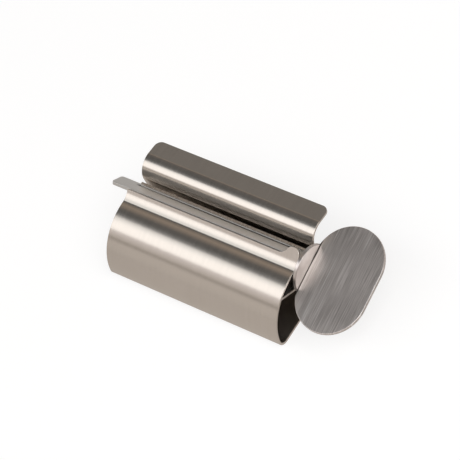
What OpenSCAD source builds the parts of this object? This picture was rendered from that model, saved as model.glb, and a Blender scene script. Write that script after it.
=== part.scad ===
// Toothpaste tube squeezer with stand: one bent sheet holder, a bent guide
// strip welded inside it, and a winding key lying across the mouth.
// X runs along the holder, +Y to the flat shelf at the rear, +Z up.

/* [Holder] */
// Length of the holder along X
length = 84; // [70:1:110]
// Thickness of the steel sheet
sheet = 1; // [0.8:0.1:1.2]
// Depth of the flat base that stands on the table
base_depth = 28; // [24:1:34]
// Inside radius of the bend between the base and the front wall
nose_r = 2.8; // [2:0.2:4]
// Angle of that bend
nose_turn = 95.5; // [92:0.5:98]
// Inside radius of the big front roll
front_r = 20.3; // [19:0.1:22]
// Angle of the big front roll
front_turn = 82.5; // [80:0.5:85]
// Straight run between the front roll and the lip
shoulder_run = 1.2; // [0.6:0.1:3]
// Outside radius of the bend up to the lip
lip_r = 6.4; // [5.6:0.1:7]
// Angle of the bend up to the lip
lip_turn = 40; // [36:0.5:44]
// Straight part of the lip above its bend
lip_run = 4.6; // [4.5:0.1:6]
// Inside radius of the bend between the base and the rear wall
heel_r = 3; // [2:0.2:4]
// Straight height of the rear wall
rear_wall_h = 16.5; // [14:0.5:20]
// Inside radius of the rounded brow above the rear wall
brow_r = 6.4; // [5:0.1:7]
// Downward slope of the flat shelf behind the brow
shelf_slope = 6.5; // [0:0.5:10]
// Flat depth of that shelf
shelf_depth = 6.9; // [5:0.1:10]
// Corner radius of the shelf
shelf_corner_r = 3; // [1:0.2:4]

/* [Lip tab] */
// Depth of the long notch in the lip
notch_depth = 3.8; // [3:0.1:4.4]
// Radius of the notch's floor where it sweeps up to the tab
notch_r = 4.5; // [3:0.1:6]
// Radius of the tab's shoulder above that sweep
tab_shoulder_r = 3; // [2:0.1:4]
// Width of the tab's top, from that shoulder to the holder's right end
tab_w = 3.2; // [3:0.1:8]
// Radius of the tab's corner at the holder's right end
tab_corner_r = 2.8; // [1:0.1:3]

/* [Guide strip] */
// Width of the slot that squeezes the tube flat
slot_w = 1.2; // [1:0.1:1.6]
// Slope of the strip's floor
guide_slope = 30; // [25:1:35]
// Inside radius of the strip's bend
guide_r = 2; // [1:0.2:4]
// Where the floor meets the front roll, as an angle from +Y
guide_foot_angle = 118; // [112:1:124]

/* [Winding key] */
// Thickness of the key's sheet, heavier than the holder's
key_sheet = 1.5; // [1.2:0.1:1.6]
// Width of the blade
blade_w = 6.5; // [5.6:0.1:6.6]
// How far the blade stands out past the holder's left end
blade_overhang = 9.3; // [4:0.1:12]
// Tilt of the blade, rear edge down
blade_tilt = 37; // [0:1:45]
// Corner radius of the blade's tip
tip_r = 1.2; // [0.5:0.1:2.5]
// Width of the slit that holds the tube's end
slit_w = 0.9; // [0.6:0.1:1.2]
// Width of the blade behind the slit
slit_rear = 1; // [0.8:0.1:2]
// Solid blade between the slit and the holder's right end
slit_margin = 4; // [2:0.5:12]
// Clearance around the turning blade
blade_gap = 0.3; // [0.3:0.05:0.4]
// Direction from the lip bend to the blade's axis, as an angle from +Y
axis_angle = -43.5; // [-45:0.5:-41]
// Gap between the holder's right end and the key's flange
flange_gap = 0.4; // [0.3:0.1:4]
// Width of the flange along the crease
flange_w = 19.6; // [17:0.1:24]
// Height of the flange's arc over the crease
flange_h = 7.5; // [7:0.1:9]
// Inside radius of the bend between the flange and the grip
key_bend_r = 0.3; // [0.2:0.1:1]
// Long side of the grip
grip_len = 43.8; // [36:0.2:50]
// Short side of the grip
grip_w = 29.9; // [24:0.1:34]
// Tilt of the grip, rear edge up
grip_tilt = 12; // [0:1:20]
// How far the crease's middle lies in front of the blade's axis
crease_forward = 2.6; // [1:0.1:4]
// How far the crease lies below the blade's axis
crease_drop = 2.5; // [2.4:0.1:3.4]

/* [Hidden] */
$fn = 96;
past = 1; // how far a cutter runs past the sheet
facet = 3; // degrees of bend to one flat facet

// The end profile is drawn with x = Y and y = Z, and is extruded along X.
// A path is a list of [straight run, inside radius, angle] steps. The sheet
// lies on the left of the path, and a positive angle turns left.
rear_path = [
    [0, heel_r, 90],
    [rear_wall_h, brow_r, -(90 + shelf_slope)],
    [shelf_depth, 0, 0],
];
front_path = [
    [base_depth, nose_r, nose_turn],
    [0, front_r, front_turn],
    [shoulder_run, lip_r, -lip_turn],
    [lip_run, 0, 0],
];

// A pose is the outer face's place and the path's direction there.
function after_run(p, run) = [p[0] + run * cos(p[2]), p[1] + run * sin(p[2]), p[2]];
function bend_offset(r, turn) = turn > 0 ? sheet + r : -r;
function bend_centre(p, r, turn) =
    [p[0] - bend_offset(r, turn) * sin(p[2]), p[1] + bend_offset(r, turn) * cos(p[2])];
function after_bend(p, r, turn) =
    let (c = bend_centre(p, r, turn), d = bend_offset(r, turn), h = p[2] + turn)
    [c[0] + d * sin(h), c[1] - d * cos(h), h];
function after_step(p, step) = let (q = after_run(p, step[0]))
    step[2] == 0 ? q : after_bend(q, step[1], step[2]);
function pose(path, n, start) =
    n == 0 ? start : after_step(pose(path, n - 1, start), path[n - 1]);
function bend_middle(path, n, start) =
    bend_centre(after_run(pose(path, n, start), path[n][0]), path[n][1], path[n][2]);

// The poses along a path: both ends of each run, and a facet at a time round
// each bend
function bend_poses(p, r, turn) = let (count = ceil(abs(turn) / facet))
    [for (k = [1 : 1 : count]) after_bend(p, r, turn * k / count)];
function step_poses(p, step) = concat(
    step[0] == 0 ? [] : [after_run(p, step[0])],
    bend_poses(after_run(p, step[0]), step[1], step[2]));
function path_poses(path, start) = concat([start],
    [for (n = [0 : len(path) - 1]) each step_poses(pose(path, n, start), path[n])]);
function outer_face(poses) = [for (p = poses) [p[0], p[1]]];
function inner_face(poses) = [for (p = poses) [p[0] - sheet * sin(p[2]), p[1] + sheet * cos(p[2])]];
function backward(points) = [for (i = [len(points) - 1 : -1 : 0]) points[i]];
function flipped(p) = [-p[0], p[1]];
function all_flipped(points) = [for (p = points) flipped(p)];
function without_first(points) = [for (i = [1 : len(points) - 1]) points[i]];

// Where the bends put things, in the end profile
origin = [0, 0, 0];
rear_poses = path_poses(rear_path, origin);
front_poses = path_poses(front_path, origin);
shelf_edge = pose(rear_path, len(rear_path), origin);
lip_edge = pose(front_path, len(front_path), origin);
front_centre = flipped(bend_middle(front_path, 1, origin));
lip_centre = flipped(bend_middle(front_path, 2, origin));
rear_face = heel_r;
brow_centre = bend_middle(rear_path, 1, origin);
brow_out = brow_r + sheet;
shelf_end = brow_centre[0] + brow_out * sin(shelf_slope) + shelf_depth * cos(shelf_slope);
front_end = -base_depth - nose_r - sheet;

// The blade's axis stands clear of the lip, whichever way the blade is turned.
// Past the end of the lip's bend it is the lip's straight run that it clears.
sweep_r = norm([blade_w / 2, key_sheet / 2]);
past_bend = max(0, axis_angle - 90 + lip_edge[2]);
axis_reach = (lip_r + sheet + blade_gap + sweep_r) / cos(past_bend);
axis_y = lip_centre[0] + axis_reach * cos(axis_angle);
axis_z = lip_centre[1] + axis_reach * sin(axis_angle);

// The guide strip stands one slot in front of the rear wall
guide_front = rear_face - slot_w - sheet;
guide_clear = sweep_r + blade_gap;
guide_reach = guide_front - axis_y;
guide_top = axis_z - sqrt(max(0, guide_clear * guide_clear - guide_reach * guide_reach));
foot = front_centre + front_r * [cos(guide_foot_angle), sin(guide_foot_angle)];
guide_turn = 90 + guide_slope;
guide_tangent = guide_r * tan(guide_turn / 2);
guide_corner_z = foot[1] - (guide_front - foot[0]) * tan(guide_slope);
guide_leg = guide_top - guide_corner_z - guide_tangent;
guide_floor = (guide_front - foot[0]) / cos(guide_slope) - guide_tangent + 2 * sheet;
guide_path = [[guide_leg, guide_r, -guide_turn], [guide_floor, 0, 0]];
guide_poses = path_poses(guide_path, [guide_front, guide_top, -90]);

// The front roll's inner face, which the guide strip's floor runs out to
roll_start = pose(front_path, 1, origin);
roll_face = all_flipped(inner_face(concat([roll_start],
    bend_poses(roll_start, front_r, front_turn))));
roll_top = roll_face[len(roll_face) - 1];
roll_room = concat(roll_face, [[rear_face, roll_top[1]], [rear_face, roll_face[0][1]]]);

// The key's flange and grip
flange_x = length + flange_gap;
grip_x = flange_x + key_sheet / 2;

// The origin is the middle of the whole object's footprint
mid_x = (grip_x + grip_w - blade_overhang) / 2;
mid_y = (shelf_end + front_end) / 2;

module placed() {
    translate([-mid_x, -mid_y, 0]) children();
}

module along_x() {
    rotate([90, 0, 90]) children();
}

module at_pose(p) {
    translate([p[0], p[1], 0]) rotate([0, 0, p[2]]) children();
}

module sheet_outline(poses) {
    polygon(concat(outer_face(poses), backward(inner_face(poses))));
}

// Cuts a square outer corner round. The corner is at the origin, and the
// sheet is on its -x side and on its +z side, or on its -z side if side is -1.
module corner_cut(r, side) {
    mirror([0, 0, side > 0 ? 0 : 1])
        translate([-r, -past, 0])
            difference() {
                translate([0, 0, -past]) cube([r + past, sheet + 2 * past, r + past]);
                translate([0, -past, r]) rotate([-90, 0, 0])
                    cylinder(r = r, h = sheet + 4 * past);
            }
}

// The notch's outline, with x = depth below the lip's edge, negative, and
// y = place along the holder. An S of two arcs joins its floor to the tab.
sweep_turn = acos(1 - notch_depth / (notch_r + tab_shoulder_r));
tab_start = length - tab_w;
floor_end = tab_start - (notch_r + tab_shoulder_r) * sin(sweep_turn);
notch_sweep = [for (a = [0 : facet : sweep_turn])
    [notch_r * (1 - cos(a)) - notch_depth, floor_end + notch_r * sin(a)]];
tab_sweep = [for (a = [sweep_turn : -facet : 0])
    [tab_shoulder_r * (cos(a) - 1), tab_start - tab_shoulder_r * sin(a)]];

module lip_notch() {
    translate([0, sheet + past, 0]) rotate([90, 0, 0])
        linear_extrude(sheet + 2 * past)
            polygon(concat([[past, -past], [-notch_depth, -past]],
                notch_sweep, tab_sweep, [[0, tab_start], [past, tab_start]]));
}

module holder_outline() {
    front = without_first(front_poses);
    polygon(concat(
        backward(all_flipped(outer_face(front))), outer_face(rear_poses),
        backward(inner_face(rear_poses)), all_flipped(inner_face(front))));
}

module holder_body() {
    color("silver") placed() along_x()
        difference() {
            linear_extrude(length) holder_outline();
            at_pose(shelf_edge) {
                corner_cut(shelf_corner_r, 1);
                translate([0, 0, length]) corner_cut(shelf_corner_r, -1);
            }
            mirror([1, 0, 0]) at_pose(lip_edge) {
                lip_notch();
                translate([0, 0, length]) corner_cut(tab_corner_r, -1);
            }
        }
}

module guide_strip() {
    color("darkgray") placed() along_x()
        linear_extrude(length)
            intersection() {
                sheet_outline(guide_poses);
                polygon(roll_room);
            }
}

module blade_corner_cut() {
    translate([0, 0, -key_sheet])
        difference() {
            translate([-past, -past, 0]) cube([tip_r + past, tip_r + past, 2 * key_sheet]);
            translate([tip_r, tip_r, -past])
                cylinder(r = tip_r, h = 2 * key_sheet + 2 * past);
        }
}

module blade_slit() {
    end_r = slit_w / 2;
    slit_length = blade_overhang + length - slit_margin;
    translate([0, blade_w / 2 - slit_rear - end_r, -key_sheet]) {
        translate([blade_overhang + end_r, -end_r, 0])
            cube([slit_length - blade_overhang - slit_w, slit_w, 2 * key_sheet]);
        for (x = [blade_overhang + end_r, slit_length - end_r])
            translate([x, 0, 0]) cylinder(r = end_r, h = 2 * key_sheet);
    }
}

module key_blade() {
    color("gainsboro") placed()
        translate([-blade_overhang, axis_y, axis_z]) rotate([-blade_tilt, 0, 0])
            difference() {
                translate([0, -blade_w / 2, -key_sheet / 2])
                    cube([blade_overhang + flange_x, blade_w, key_sheet]);
                translate([0, -blade_w / 2, 0]) blade_corner_cut();
                translate([0, blade_w / 2, 0]) mirror([0, 1, 0]) blade_corner_cut();
                blade_slit();
            }
}

// The flange folds up from the grip. Its arc is the top of a larger circle,
// whose middle lies below the crease.
flange_r = (flange_w * flange_w / 4 + flange_h * flange_h) / (2 * flange_h);
fold_out = key_bend_r + key_sheet;
function fold_arc(r) = [for (a = [180 : facet : 270]) fold_out * [1, 1] + r * [cos(a), sin(a)]];

module fold_outline() {
    top = key_sheet + flange_h;
    end = grip_w / 2;
    polygon(concat([[0, top]], fold_arc(fold_out), [[end, 0], [end, key_sheet]],
        backward(fold_arc(key_bend_r)), [[key_sheet, top]]));
}

module flange() {
    intersection() {
        translate([0, flange_w / 2, -key_sheet]) rotate([90, 0, 0])
            linear_extrude(flange_w) fold_outline();
        union() {
            translate([0, 0, flange_h - flange_r]) rotate([0, 90, 0])
                cylinder(r = flange_r, h = grip_w);
            translate([0, -flange_w / 2, -2 * key_sheet])
                cube([grip_w, flange_w, 2 * key_sheet]);
        }
    }
}

module grip_plate() {
    end_r = grip_w / 2;
    reach = grip_len / 2 - end_r;
    translate([key_sheet / 2, -reach, -key_sheet]) cube([grip_w, 2 * reach, key_sheet]);
    for (side = [-1, 1])
        translate([key_sheet / 2 + end_r, side * reach, -key_sheet])
            cylinder(r = end_r, h = key_sheet);
}

module key_grip() {
    color("gainsboro") placed()
        translate([flange_x, axis_y, axis_z]) rotate([grip_tilt, 0, 0])
            translate([0, -crease_forward, -crease_drop]) {
                flange();
                grip_plate();
            }
}

holder_body();
guide_strip();
key_blade();
key_grip();
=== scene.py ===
"""Looks of the toothpaste tube squeezer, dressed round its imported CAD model."""
from math import atan2, cos, degrees, pi, radians, sin

import bpy
import numpy as np
from mathutils import Matrix, Vector


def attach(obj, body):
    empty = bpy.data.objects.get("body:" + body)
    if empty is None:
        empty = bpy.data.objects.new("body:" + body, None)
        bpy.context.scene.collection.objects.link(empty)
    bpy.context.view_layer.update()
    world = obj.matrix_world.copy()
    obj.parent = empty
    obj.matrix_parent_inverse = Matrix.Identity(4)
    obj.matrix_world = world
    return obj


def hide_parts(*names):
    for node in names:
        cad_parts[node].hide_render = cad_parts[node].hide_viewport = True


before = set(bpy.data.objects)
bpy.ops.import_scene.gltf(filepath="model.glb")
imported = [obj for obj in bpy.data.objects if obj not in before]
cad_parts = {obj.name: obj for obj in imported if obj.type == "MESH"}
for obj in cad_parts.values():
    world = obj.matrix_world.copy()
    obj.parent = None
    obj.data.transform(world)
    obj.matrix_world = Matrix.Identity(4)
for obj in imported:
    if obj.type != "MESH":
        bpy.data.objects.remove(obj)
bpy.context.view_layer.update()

MM = 0.001

# Cut edges: the holder's are deburred, and the key's are tumbled rounder. The grip's
# stays under the 0.3 mm inner radius of its fold.
HOLDER_EDGE = 0.16 * MM
BLADE_EDGE = 0.26 * MM
GRIP_EDGE = 0.29 * MM
EDGE_SEGMENTS = 4
# Facets of a bend stand 3 degrees apart, and real corners are 90 degrees
SMOOTH_ANGLE = radians(32)
CORNER_ANGLE = radians(40)
# A CAD mesh is loose triangles. Corners nearer than this are joined, and faces flatter
# than this become one.
MERGE_DISTANCE = 0.003 * MM
FLAT_ANGLE = radians(0.6)

# The key: how the blade and the grip are tipped about X, in degrees
BLADE_TILT = -37
GRIP_TILT = 12
# A point on the crease between the flange and the grip, and the height that it has once
# the grip is turned level
CREASE_X = 33.03 * MM
CREASE_Y = 2.51 * MM
CREASE_Z = 19.24 * MM
CREASE_HEIGHT = CREASE_Z * cos(radians(GRIP_TILT)) - CREASE_Y * sin(radians(GRIP_TILT))
# The shade painted as a dark line in the crease: how far its middle lies inside the fold, and
# half its width
CREASE_INSET = 0.08 * MM
CREASE_REACH = 0.2 * MM

# A belt's scratch is about 0.05 mm wide, too fine to show, so each is drawn wider. A score
# is one of the few deep ones. Clouds are where the belt pressed harder, and their share of
# the grain.
SCRATCH_WIDTH = 0.34 * MM
SCRATCH_LENGTH = 18 * MM
SCORE_WIDTH = 0.55 * MM
SCORE_LENGTH = 30 * MM
CLOUD_SIZE = 14 * MM
CLOUD_SHARE = 0.2
# Fresh metal in a score, and the shade painted into the crease as a dark line
SCORE_COLOUR = "#F4F2EF"
CREASE_PAINTED_SHADE = "#4A4541"
# How strongly the scratches smear a reflection, and along which way. It leans off X, so
# that the cut ends, which face X, have a way too.
SMEAR_STRENGTH = 0.75
SMEAR_WAY = (1.0, 0.0, 0.2)

# The press bent the sheet in steps, so the brow and the lip aren't true circles. Each
# step is an angle round the bend from +Y, and how far the face there leans forward, both
# in degrees. Centres and edges are Y and Z in mm.
BROW_CENTRE = (17.25, 20.5)
BROW_FRONT = 9.5
BROW_BOTTOM = 20
BROW_LEAN = [
    (83.6, 0), (84.6, 12), (90, 8), (96, 4), (102, 0), (108, -2), (114, -3), (120, -5),
    (126, -7), (131, -4), (136, 9), (141, 13), (147, 9), (153, 3), (160, 0)]
LIP_CENTRE = (-3.49, 29.85)
LIP_FRONT = -4
LIP_REAR = 5
LIP_BOTTOM = 22
LIP_LEAN = [(93, 4), (97, 11), (103, 5), (112, 1), (118, 0), (123, -3), (132, -6)]

# What the metal mirrors round the X axis, from the rear (0) over the top (90)
# to the front (180): each band is an angle in degrees and a colour
ROOM_BANDS = [
    (0, "#CECDCB"),
    (30, "#AAA8A6"),
    (57, "#807D7A"),
    (75, "#AD9E90"),
    (83, "#5D5D5D"),
    (92, "#595959"),
    (104, "#A2A4A6"),
    (113, "#ECEBEC"),
    (128, "#F3F0F0"),
    (135, "#F3EDEC"),
    (142, "#DFD8D3"),
    (147, "#DAD3CD"),
    (148, "#7C766F"),
    (151, "#7C766F"),
    (152, "#DDD6D0"),
    (180, "#D4CEC8"),
]
BACKDROP_COLOUR = "#FFFFFF"

# The table top: its own colour, what the camera sees on top of that, and what the metal
# mirrors of it. Its size is in metres.
FLOOR_SIZE = 8
FLOOR_COLOUR = "#959595"
FLOOR_SEEN = "#E1E1E1"
FLOOR_MIRRORED = "#A79F98"

# The photograph's viewpoint, solved from the sheet's edges
SENSOR_WIDTH = 36
LENS_LENGTH = 213.28
CAMERA_PLACE = Vector((548.725, -314.1, 852.2)) * MM
CAMERA_RIGHT = (0.78509, 0.53007, -0.32041)
CAMERA_UP = (-0.32324, 0.79191, 0.51806)
CAMERA_BACK = (0.52834, -0.30316, 0.79306)
# Far enough, in metres, to take in the table's far edge
CAMERA_REACH = 30

scene = bpy.context.scene
scene.view_settings.view_transform = "Standard"


def linear(hex_colour):
    """An sRGB hex colour as linear RGBA, which is what the shader sockets take."""
    channels = [int(hex_colour[start:start + 2], 16) / 255 for start in (1, 3, 5)]
    low = [c / 12.92 for c in channels]
    high = [((c + 0.055) / 1.055) ** 2.4 for c in channels]
    return [h if c > 0.04045 else d for c, d, h in zip(channels, low, high)] + [1.0]


def add_node(tree, kind, settings=None, **inputs):
    """Adds a node. Settings are its own properties, and inputs its sockets' values or links.

    A socket goes by its name, or by its number, as i0, where other sockets share its name.
    """
    node = tree.nodes.new(kind)
    for name, value in (settings or {}).items():
        setattr(node, name, value)
    for name, value in inputs.items():
        numbered = name[0] == "i" and name[1:].isdigit()
        socket = node.inputs[int(name[1:]) if numbered else name.replace("_", " ")]
        if isinstance(value, bpy.types.NodeSocket):
            tree.links.new(value, socket)
        else:
            socket.default_value = value
    return node


def painted_crease_shade(tree, turned):
    """Where shade is painted as a dark line: 1 along the crease between the flange and the
    grip, and 0 elsewhere.
    """
    spot = add_node(tree, "ShaderNodeSeparateXYZ", Vector=turned)
    near_x = add_node(
        tree, "ShaderNodeMath", {"operation": "COMPARE"},
        i0=spot.outputs["X"], i1=CREASE_X + CREASE_INSET, i2=CREASE_REACH)
    near_z = add_node(
        tree, "ShaderNodeMath", {"operation": "COMPARE"},
        i0=spot.outputs["Z"], i1=CREASE_HEIGHT + CREASE_INSET, i2=CREASE_REACH)
    both = add_node(
        tree, "ShaderNodeMath", {"operation": "MULTIPLY"},
        i0=near_x.outputs[0], i1=near_z.outputs[0])
    return both.outputs[0]


def brushed_steel(name, tilt, dark, pale, rough_low, rough_high, bump, scores, paint_crease_shade=False):
    """Stainless sheet with the fine parallel scratches of an abrasive belt.

    The belt ran across X. It smears what the metal mirrors along X and leaves it sharp
    across. tilt tips the sheet's plane about X, in degrees. The grain runs from dark to
    pale, and from rough_low to rough_high. bump is the scratches' depth in mm, and scores is
    how far the deep ones stand out, from 0 to 1. creased paints shade into the fold as a
    dark line.
    """
    material = bpy.data.materials.new(name)
    material.use_nodes = True
    tree = material.node_tree
    tree.nodes.clear()
    place = add_node(tree, "ShaderNodeTexCoord").outputs["Object"]
    turned = add_node(
        tree, "ShaderNodeVectorRotate", {"rotation_type": "X_AXIS"},
        Vector=place, Angle=radians(-tilt)).outputs[0]
    hairs = add_node(
        tree, "ShaderNodeMapping", Vector=turned,
        Scale=(1 / SCRATCH_WIDTH, 1 / SCRATCH_LENGTH, 1 / SCRATCH_LENGTH))
    scratches = add_node(
        tree, "ShaderNodeTexNoise", Vector=hairs.outputs[0],
        Scale=1.0, Detail=3.0, Roughness=0.65).outputs[0]
    lines = add_node(
        tree, "ShaderNodeMapping", Vector=turned,
        Scale=(1 / SCORE_WIDTH, 1 / SCORE_LENGTH, 1 / SCORE_LENGTH))
    deep = add_node(
        tree, "ShaderNodeTexNoise", Vector=lines.outputs[0],
        Scale=1.0, Detail=1.0, Roughness=0.4).outputs[0]
    # Only the noise's highest crests are scores
    scored = add_node(
        tree, "ShaderNodeMapRange", Value=deep,
        From_Min=0.64, From_Max=0.78, To_Min=0.0, To_Max=scores).outputs[0]
    clouds = add_node(
        tree, "ShaderNodeTexNoise", Vector=place,
        Scale=1 / CLOUD_SIZE, Detail=2.0).outputs[0]
    grain = add_node(
        tree, "ShaderNodeMix", {"data_type": "FLOAT"},
        i0=CLOUD_SHARE, i2=scratches, i3=clouds).outputs[0]
    # The grain lies between about 0.3 and 0.7, and its ends are fully dark and fully pale
    share = add_node(
        tree, "ShaderNodeMapRange", Value=grain,
        From_Min=0.36, From_Max=0.64, To_Min=0.0, To_Max=1.0).outputs[0]
    tone = add_node(
        tree, "ShaderNodeMix", {"data_type": "RGBA"},
        i0=share, i6=linear(dark), i7=linear(pale)).outputs[2]
    tone = add_node(
        tree, "ShaderNodeMix", {"data_type": "RGBA"},
        i0=scored, i6=tone, i7=linear(SCORE_COLOUR)).outputs[2]
    # Painted shade: a dark line where the inner corner of the fold lies in shade
    if paint_crease_shade:
        tone = add_node(
            tree, "ShaderNodeMix", {"data_type": "RGBA"},
            i0=painted_crease_shade(tree, turned), i6=tone, i7=linear(CREASE_PAINTED_SHADE)).outputs[2]
    roughness = add_node(
        tree, "ShaderNodeMapRange", Value=grain,
        From_Min=0.3, From_Max=0.7, To_Min=rough_low, To_Max=rough_high)
    relief = add_node(
        tree, "ShaderNodeBump", Strength=1.0, Distance=bump * MM, Height=scratches)
    smear_x, smear_y, smear_z = SMEAR_WAY
    smear_way = add_node(tree, "ShaderNodeCombineXYZ", X=smear_x, Y=smear_y, Z=smear_z)
    smear = add_node(
        tree, "ShaderNodeVectorTransform",
        {"vector_type": "VECTOR", "convert_from": "OBJECT", "convert_to": "WORLD"},
        Vector=smear_way.outputs[0])
    steel = add_node(
        tree, "ShaderNodeBsdfPrincipled", Base_Color=tone, Metallic=1.0,
        Roughness=roughness.outputs[0], Anisotropic=SMEAR_STRENGTH,
        Normal=relief.outputs[0], Tangent=smear.outputs[0])
    add_node(tree, "ShaderNodeOutputMaterial", Surface=steel.outputs[0])
    return material


def lean_at(place):
    """How far the holder's face leans forward at a place, in degrees."""
    y = place.y / MM
    z = place.z / MM
    if y > BROW_FRONT and z > BROW_BOTTOM:
        angle = degrees(atan2(z - BROW_CENTRE[1], y - BROW_CENTRE[0]))
        return np.interp(angle, *zip(*BROW_LEAN))
    if LIP_FRONT < y < LIP_REAR and z > LIP_BOTTOM:
        # The lip is hollow on top, so its face looks towards the centre and not away from it
        angle = degrees(atan2(z - LIP_CENTRE[1], y - LIP_CENTRE[0])) + 180
        return np.interp(angle, *zip(*LIP_LEAN))
    return 0


def press_in_steps(piece):
    """Leans the face of the holder's bends as the press left them."""
    mesh = piece.data
    faced = []
    for corner, normal in zip(mesh.loops, mesh.corner_normals):
        turn = radians(lean_at(mesh.vertices[corner.vertex_index].co))
        faced.append(Matrix.Rotation(turn, 3, "X") @ normal.vector)
    mesh.normals_split_custom_set(faced)


def dress(node, body, edge, material):
    """Makes the sheet that stands for a CAD node: the same shape, with rounded cut edges."""
    bpy.ops.object.select_all(action="DESELECT")
    piece = bpy.data.objects.new(node + "_sheet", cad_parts[node].data.copy())
    scene.collection.objects.link(piece)
    bpy.context.view_layer.objects.active = piece
    piece.select_set(True)
    bpy.ops.object.mode_set(mode="EDIT")
    bpy.ops.mesh.select_all(action="SELECT")
    bpy.ops.mesh.remove_doubles(threshold=MERGE_DISTANCE)
    bpy.ops.mesh.dissolve_limited(angle_limit=FLAT_ANGLE)
    bpy.ops.object.mode_set(mode="OBJECT")
    rounding = piece.modifiers.new("rounded_edges", "BEVEL")
    rounding.width = edge
    rounding.segments = EDGE_SEGMENTS
    rounding.limit_method = "ANGLE"
    rounding.angle_limit = CORNER_ANGLE
    # The short facets of the bends would hold the rounding back to almost nothing
    rounding.use_clamp_overlap = False
    bpy.ops.object.modifier_apply(modifier=rounding.name)
    bpy.ops.object.shade_smooth_by_angle(angle=SMOOTH_ANGLE)
    evening = piece.modifiers.new("flat_faces_stay_flat", "WEIGHTED_NORMAL")
    evening.keep_sharp = True
    bpy.ops.object.modifier_apply(modifier=evening.name)
    piece.data.materials.clear()
    piece.data.materials.append(material)
    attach(piece, body)
    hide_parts(node)
    return piece


def white_floor():
    """A pale table top. The camera sees it white, and it keeps the soft shadow."""
    bpy.ops.object.select_all(action="DESELECT")
    bpy.ops.mesh.primitive_plane_add(size=FLOOR_SIZE, location=(0, 0, 0))
    floor = bpy.context.active_object
    floor.name = "table_top"
    material = bpy.data.materials.new("matt_white_table")
    material.use_nodes = True
    tree = material.node_tree
    tree.nodes.clear()
    rays = add_node(tree, "ShaderNodeLightPath")
    matt = add_node(tree, "ShaderNodeBsdfDiffuse", Color=linear(FLOOR_COLOUR))
    straight = add_node(
        tree, "ShaderNodeMath", {"operation": "MAXIMUM"},
        i0=rays.outputs["Is Camera Ray"], i1=rays.outputs["Is Transmission Ray"])
    seen = add_node(
        tree, "ShaderNodeEmission", Color=linear(FLOOR_SEEN), Strength=straight.outputs[0])
    mirrored = add_node(
        tree, "ShaderNodeEmission", Color=linear(FLOOR_MIRRORED),
        Strength=rays.outputs["Is Glossy Ray"])
    glow = add_node(tree, "ShaderNodeAddShader", i0=seen.outputs[0], i1=mirrored.outputs[0])
    both = add_node(tree, "ShaderNodeAddShader", i0=matt.outputs[0], i1=glow.outputs[0])
    add_node(tree, "ShaderNodeOutputMaterial", Surface=both.outputs[0])
    floor.data.materials.append(material)


def studio_room():
    """The room that the metal mirrors, as bands that run along the holder."""
    world = bpy.data.worlds.new("studio_room")
    scene.world = world
    world.use_nodes = True
    tree = world.node_tree
    tree.nodes.clear()
    place = add_node(tree, "ShaderNodeTexCoord").outputs["Generated"]
    way = add_node(tree, "ShaderNodeSeparateXYZ", Vector=place)
    angle = add_node(
        tree, "ShaderNodeMath", {"operation": "ARCTAN2"},
        i0=way.outputs["Z"], i1=way.outputs["Y"])
    share = add_node(
        tree, "ShaderNodeMath", {"operation": "DIVIDE"}, i0=angle.outputs[0], i1=pi)
    bands = add_node(tree, "ShaderNodeValToRGB", i0=share.outputs[0])
    elements = bands.color_ramp.elements
    # A ramp starts with two colours, and the new ones get their places below
    while len(elements) < len(ROOM_BANDS):
        elements.new(0.5)
    for element, (turn, colour) in zip(elements, ROOM_BANDS):
        element.position = turn / 180
        element.color = linear(colour)
    rays = add_node(tree, "ShaderNodeLightPath")
    seen = add_node(
        tree, "ShaderNodeMix", {"data_type": "RGBA"},
        i0=rays.outputs["Is Camera Ray"], i6=bands.outputs[0], i7=linear(BACKDROP_COLOUR))
    light = add_node(tree, "ShaderNodeBackground", Color=seen.outputs[2], Strength=1.0)
    add_node(tree, "ShaderNodeOutputWorld", Surface=light.outputs[0])


def softbox(name, direction, distance, width, depth, radiance):
    """A rectangular softbox aimed at the middle of the object, with its width along X.

    Sizes are in metres. Its power goes with its area, so radiance is how bright it looks.
    """
    data = bpy.data.lights.new(name, "AREA")
    data.shape = "RECTANGLE"
    data.size = width
    data.size_y = depth
    data.energy = radiance * pi * width * depth
    lamp = bpy.data.objects.new(name, data)
    scene.collection.objects.link(lamp)
    back = Vector(direction).normalized()
    along = (Vector((1, 0, 0)) - back * back.x).normalized()
    across = back.cross(along)
    turn = Matrix((along, across, back)).transposed()
    lamp.matrix_world = Matrix.Translation(back * distance) @ turn.to_4x4()


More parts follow.
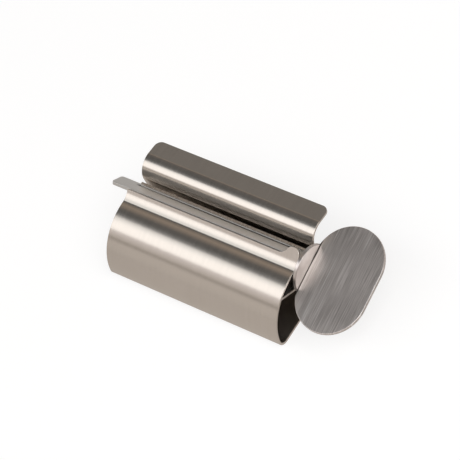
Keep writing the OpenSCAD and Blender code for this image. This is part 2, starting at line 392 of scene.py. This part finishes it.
def photo_camera():
    """The photograph's viewpoint and frame."""
    data = bpy.data.cameras.new("photo_camera")
    data.sensor_width = SENSOR_WIDTH
    data.lens = LENS_LENGTH
    data.clip_end = CAMERA_REACH
    camera = bpy.data.objects.new("photo_camera", data)
    scene.collection.objects.link(camera)
    turn = Matrix((CAMERA_RIGHT, CAMERA_UP, CAMERA_BACK)).transposed()
    camera.matrix_world = Matrix.Translation(CAMERA_PLACE) @ turn.to_4x4()
    scene.camera = camera


# Satin stainless sheet, belt-brushed across before it was bent: warm grey, with soft
# bands of light that run the length of the piece
holder_steel = brushed_steel(
    "holder_satin_stainless", tilt=0, dark="#C8C1B9", pale="#CEC7BF",
    rough_low=0.20, rough_high=0.26, bump=0.0003, scores=0)
# The same sheet inside the holder, painted a shade darker than the outside for the shade that
# falls in there
guide_steel_painted_shade = brushed_steel(
    "guide_satin_stainless", tilt=0, dark="#BDB7B0", pale="#C6C0B9",
    rough_low=0.24, rough_high=0.32, bump=0.0003, scores=0)
# The key is heavier sheet, brushed after it was cut. The blade shows it as a cooler and
# even grey
blade_steel = brushed_steel(
    "blade_brushed_stainless", tilt=BLADE_TILT, dark="#CBCAC8", pale="#D3D2D0",
    rough_low=0.28, rough_high=0.34, bump=0.0003, scores=0.1)
# The same sheet at the grip, with plain streaks across it and shade painted into its fold as
# a dark line
grip_steel = brushed_steel(
    "grip_brushed_stainless", tilt=GRIP_TILT, dark="#B6AFAB", pale="#E2DBD7",
    rough_low=0.28, rough_high=0.36, bump=0.0018, scores=0.9, paint_crease_shade=True)

holder_sheet = dress("holder_body", "holder", HOLDER_EDGE, holder_steel)
press_in_steps(holder_sheet)
dress("guide_strip", "holder", HOLDER_EDGE, guide_steel_painted_shade)
dress("key_blade", "key", BLADE_EDGE, blade_steel)
dress("key_grip", "key", GRIP_EDGE, grip_steel)

white_floor()
studio_room()
softbox(
    "overhead_softbox", direction=(-0.35, -0.39, 0.80), distance=1.0,
    width=1.5, depth=0.43, radiance=0.85)
softbox(
    "right_softbox", direction=(0.53, -0.05, 0.85), distance=1.0,
    width=0.8, depth=0.8, radiance=2.1)
photo_camera()
